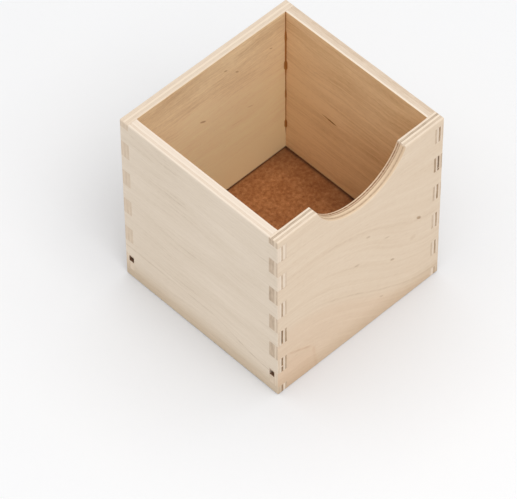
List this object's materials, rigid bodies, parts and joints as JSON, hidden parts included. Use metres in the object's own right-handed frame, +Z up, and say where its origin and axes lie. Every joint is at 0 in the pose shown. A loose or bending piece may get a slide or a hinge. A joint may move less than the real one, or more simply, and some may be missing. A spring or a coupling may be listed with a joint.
{
  "type": "espresso knock box",
  "caption": "Open-topped box of birch plywood with finger-jointed corners, a hardboard base and a round scoop in the front wall.",
  "frame": {"origin": "middle of the box's footprint, at table level", "axes": "+X to the right, -Y to the front, where the scoop is, and +Z up"},
  "size_m": [0.123, 0.1194, 0.128],
  "materials": {
    "birch_plywood": "sanded smooth, unvarnished",
    "hardboard": "smooth pressed face, dull"
  },
  "bodies": {
    "root": {"front_panel": "birch_plywood", "back_panel": "birch_plywood", "left_panel": "birch_plywood", "right_panel": "birch_plywood", "base_panel": "hardboard"}
  },
  "joints": []
}
